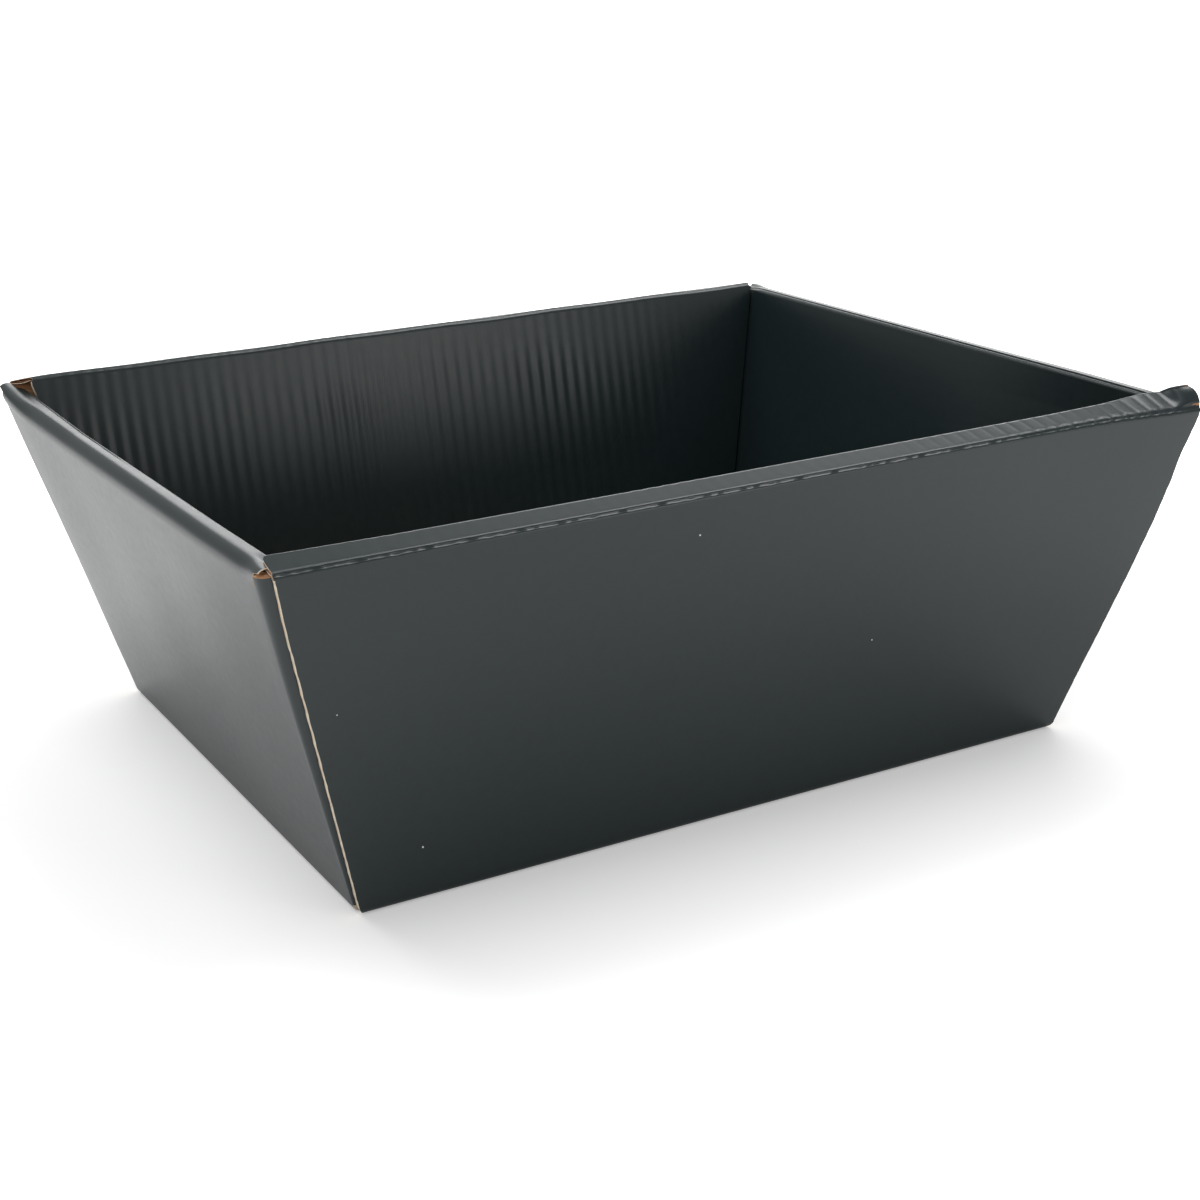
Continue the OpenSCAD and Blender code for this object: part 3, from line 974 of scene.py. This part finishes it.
class TRAY_OT_base(bpy.types.Operator):
    """Builds the base with the slots for the tabs"""

    bl_idname = "tray.base"
    bl_label = "Base"

    def execute(self, context):
        g = sizes_in_mm(context)
        build = Build()
        slot = g.long_tab / 2 + g.tab_play
        edges = [middle + end for middle in (-g.long_tab_at, g.long_tab_at) for end in (-slot, slot)]
        x = np.unique(np.concatenate([np.linspace(-g.floor_x, g.floor_x, 64), edges]))
        slot_near = 117.4
        slot_y = [slot_near, 119.8, g.floor_y]
        y = np.unique(np.concatenate([np.linspace(-slot_near, slot_near, 48), slot_y, [-v for v in slot_y]]))
        mid_x, mid_y = (x[:-1] + x[1:]) / 2, (y[:-1] + y[1:]) / 2
        in_slot = np.abs(np.abs(mid_x) - g.long_tab_at) < slot
        keep = ~((np.abs(mid_y) > slot_near)[:, None] & in_slot[None, :])
        slow = 0.25 * wave(x, 51, (170, 90))[None, :] * wave(y, 52, (150, 80))[:, None]
        calm = fade(g.floor_x - np.abs(x), 4, 40)[None, :] * fade(g.floor_y - np.abs(y), 6, 40)[:, None]
        upper = np.stack(np.broadcast_arrays(x[None, :], y[:, None], g.board + 0.4 * slow * calm), -1)
        lower = np.stack(np.broadcast_arrays(x[None, :], y[:, None], 0.25 * np.abs(slow) * calm), -1)
        slab(build, lower, upper, keep=keep)
        build.finish("base", board_materials(context))
        return {"FINISHED"}


class TRAY_OT_long_walls(bpy.types.Operator):
    """Builds the front and back walls with their rolled rims"""

    bl_idname = "tray.long_walls"
    bl_label = "Long walls"

    def execute(self, context):
        g = sizes_in_mm(context)
        for name, side in (("front_wall", -1), ("back_wall", 1)):
            build = Build()
            LongWall(g, side).build(build)
            build.finish(name, board_materials(context))
        return {"FINISHED"}


class TRAY_OT_end_walls(bpy.types.Operator):
    """Builds the left and right walls with their corner flaps"""

    bl_idname = "tray.end_walls"
    bl_label = "End walls"

    def execute(self, context):
        g = sizes_in_mm(context)
        for name, side in (("left_wall", -1), ("right_wall", 1)):
            build = Build()
            wall = EndWall(g, side)
            wall.foot(build)
            wall.panel(build)
            wall.roll(build)
            build.finish(name, board_materials(context))
        return {"FINISHED"}


class TRAY_OT_torn_paper(bpy.types.Operator):
    """Adds the pale spots where the black face is worn through"""

    bl_idname = "tray.torn_paper"
    bl_label = "Torn paper"

    def execute(self, context):
        build = Build()
        for seed, (centre, normal, along, long, wide, thick, slot) in enumerate(SPOTS):
            flake(build, centre, normal, along, long, wide, thick, 100 + seed, slot)
        build.finish("torn_paper", board_materials(context)[1:] + [torn_material(context)])
        return {"FINISHED"}


FRONT, UP = (0.0, -0.977, -0.212), (0.0, 0.0, 1.0)
INNER_BACK = (0.0, -0.977, 0.212)
WHITE_BIT = 3

# Centre, direction it faces, direction of its length, length, width, thickness, finish
SPOTS = [
    ((-35.0, -156.6, 129.3), FRONT, (1, 0, 0), 0.9, 0.7, 0.10, WHITE_BIT),
    ((-138.5, -133.6, 23.6), FRONT, UP, 1.0, 0.7, 0.10, WHITE_BIT),
    ((-173.5, -147.5, 87.7), FRONT, (1, 0, 0), 0.8, 0.6, 0.10, WHITE_BIT),
    ((53.0, -143.1, 67.2), FRONT, UP, 0.6, 0.5, 0.08, WHITE_BIT),
    ((-178.7, 148.3, 140.8), INNER_BACK, (1, 0, 0), 0.9, 0.7, 0.10, WHITE_BIT),
    ((-156.7, 147.5, 136.9), INNER_BACK, UP, 1.0, 0.9, 0.12, WHITE_BIT),
    ((123.0, 139.4, 99.5), INNER_BACK, UP, 0.8, 0.7, 0.10, WHITE_BIT),
]


class TRAY_OT_stage(bpy.types.Operator):
    """Builds the floor, the light and the camera"""

    bl_idname = "tray.stage"
    bl_label = "Stage"

    def execute(self, context):
        scene, s = context.scene, context.scene.tray_stage
        build_floor(s)
        build_light(scene)
        a, e = s.azimuth, s.elevation
        back = Vector((math.sin(a) * math.cos(e), -math.cos(a) * math.cos(e), math.sin(e)))
        right = Vector((math.cos(a), math.sin(a), 0))
        up = back.cross(right)
        turned = Matrix.Rotation(s.roll, 3, back)
        camera = bpy.data.objects.new("camera", bpy.data.cameras.new("camera"))
        scene.collection.objects.link(camera)
        camera.data.sensor_width = 36.0
        camera.data.lens = s.lens
        camera.data.clip_start, camera.data.clip_end = 0.01, 50.0
        camera.location = Vector(s.target) + back * s.distance
        axes = Matrix((turned @ right, turned @ up, back)).transposed()
        camera.rotation_mode = "QUATERNION"
        camera.rotation_quaternion = axes.to_quaternion()
        scene.camera = camera
        scene.view_settings.view_transform = "Standard"
        return {"FINISHED"}


def build_floor(s):
    """A wide pale floor that camera and gloss see as the white background, with the tray's shadow from the
    lamps. Its glow is lower near the tray, a painted shade round it, and glossy rays see no glow close by, a
    painted shade in the floor's reflection on the walls' foot.
    """
    n, half = 25, 30.0
    line = np.linspace(-half, half, n)
    points = np.stack(np.broadcast_arrays(line[None, :], line[:, None], np.zeros((1, 1))), -1).reshape(-1, 3)
    mesh = bpy.data.meshes.new("floor")
    mesh.from_pydata(points.tolist(), [], grid_faces(n, n))
    floor = bpy.data.objects.new("floor", mesh)
    bpy.context.scene.collection.objects.link(floor)
    material = bpy.data.materials.new("floor")
    material.use_nodes = True
    tree = material.node_tree
    shader = tree.nodes["Principled BSDF"]
    shader.inputs["Base Color"].default_value = (*s.floor, 1)
    shader.inputs["Roughness"].default_value = 0.9
    shader.inputs["Specular IOR Level"].default_value = 0.0
    path = add(tree, "LightPath")
    where = add(tree, "TexCoord")
    levels = []
    # Each ray's glow climbs from low near the tray to high far off: painted shade on the floor round the tray,
    # and for glossy rays a painted darker floor in the walls' reflections, darker towards their foot
    for ray, shift, near, far, low, high in (
        ("Is Camera Ray", 0.0, 0.22, 0.62, 0.28, 1.0),
        ("Is Transmission Ray", 0.0, 0.22, 0.62, 0.28, 1.0),
        ("Is Glossy Ray", -0.05, 0.20, 0.36, 0.0, 0.30),
    ):
        moved = add(tree, "VectorMath", operation="ADD")
        moved.inputs[1].default_value = (shift, 0, 0)
        tree.links.new(where.outputs["Object"], moved.inputs[0])
        away = add(tree, "VectorMath", operation="LENGTH")
        tree.links.new(moved.outputs[0], away.inputs[0])
        glow_and_painted_shade = add(tree, "MapRange", interpolation_type="SMOOTHSTEP")
        for label, value in (("From Min", near), ("From Max", far), ("To Min", low), ("To Max", high)):
            glow_and_painted_shade.inputs[label].default_value = value
        tree.links.new(away.outputs["Value"], glow_and_painted_shade.inputs["Value"])
        level = add(tree, "Math", operation="MULTIPLY")
        tree.links.new(glow_and_painted_shade.outputs[0], level.inputs[0])
        tree.links.new(path.outputs[ray], level.inputs[1])
        levels.append(level)
    total = add(tree, "Math", operation="ADD")
    more = add(tree, "Math", operation="ADD")
    tree.links.new(levels[0].outputs[0], total.inputs[0])
    tree.links.new(levels[1].outputs[0], total.inputs[1])
    tree.links.new(total.outputs[0], more.inputs[0])
    tree.links.new(levels[2].outputs[0], more.inputs[1])
    shader.inputs["Emission Color"].default_value = (1, 1, 1, 1)
    tree.links.new(more.outputs[0], shader.inputs["Emission Strength"])
    mesh.materials.append(material)


def build_light(scene):
    """White surroundings and five soft lamps."""
    world = bpy.data.worlds.new("studio")
    world.use_nodes = True
    world.node_tree.nodes["Background"].inputs["Color"].default_value = (1, 1, 1, 1)
    world.node_tree.nodes["Background"].inputs["Strength"].default_value = 0.45
    scene.world = world
    for name, place, wide, high, watts in (
        ("key", (0.85, 0.00, 1.65), 0.9, 0.9, 16.0),
        ("left", (-1.50, -0.50, 0.70), 0.8, 0.8, 5.0),
        ("side", (-0.50, 0.70, 1.60), 0.8, 0.8, 13.0),
        ("back", (1.20, 2.15, 0.85), 2.2, 1.2, 18.0),
        ("front", (0.45, -1.00, 0.24), 0.36, 0.26, 1.3),
    ):
        lamp = bpy.data.lights.new(name, "AREA")
        lamp.shape, lamp.size, lamp.size_y, lamp.energy = "RECTANGLE", wide, high, watts
        thing = bpy.data.objects.new(name, lamp)
        thing.location = place
        thing.rotation_mode = "QUATERNION"
        thing.rotation_quaternion = (-Vector(place)).to_track_quat("-Z", "Y")
        thing.visible_camera = False
        scene.collection.objects.link(thing)


class TRAY_PT_panel(bpy.types.Panel):
    """Lists the tray's operators and settings"""

    bl_label = "Hamper tray"
    bl_idname = "TRAY_PT_panel"
    bl_space_type = "VIEW_3D"
    bl_region_type = "UI"
    bl_category = "Tray"

    def draw(self, context):
        for operator in OPERATORS:
            self.layout.operator(operator.bl_idname)
        for group in (context.scene.tray_sizes, context.scene.tray_looks, context.scene.tray_stage):
            for name in group.__annotations__:
                self.layout.prop(group, name)


OPERATORS = (TRAY_OT_base, TRAY_OT_long_walls, TRAY_OT_end_walls, TRAY_OT_torn_paper, TRAY_OT_stage)
GROUPS = {"tray_sizes": TraySizes, "tray_looks": TrayLooks, "tray_stage": StageSettings}


def register():
    for kind in (*GROUPS.values(), *OPERATORS, TRAY_PT_panel):
        bpy.utils.register_class(kind)
    for name, kind in GROUPS.items():
        setattr(bpy.types.Scene, name, bpy.props.PointerProperty(type=kind))


def unregister():
    for name in GROUPS:
        delattr(bpy.types.Scene, name)
    for kind in (TRAY_PT_panel, *OPERATORS[::-1], *GROUPS.values()):
        bpy.utils.unregister_class(kind)


def main():
    register()
    bpy.ops.tray.base()
    bpy.ops.tray.long_walls()
    bpy.ops.tray.end_walls()
    bpy.ops.tray.torn_paper()
    bpy.ops.tray.stage()


if __name__ == "__main__":
    main()
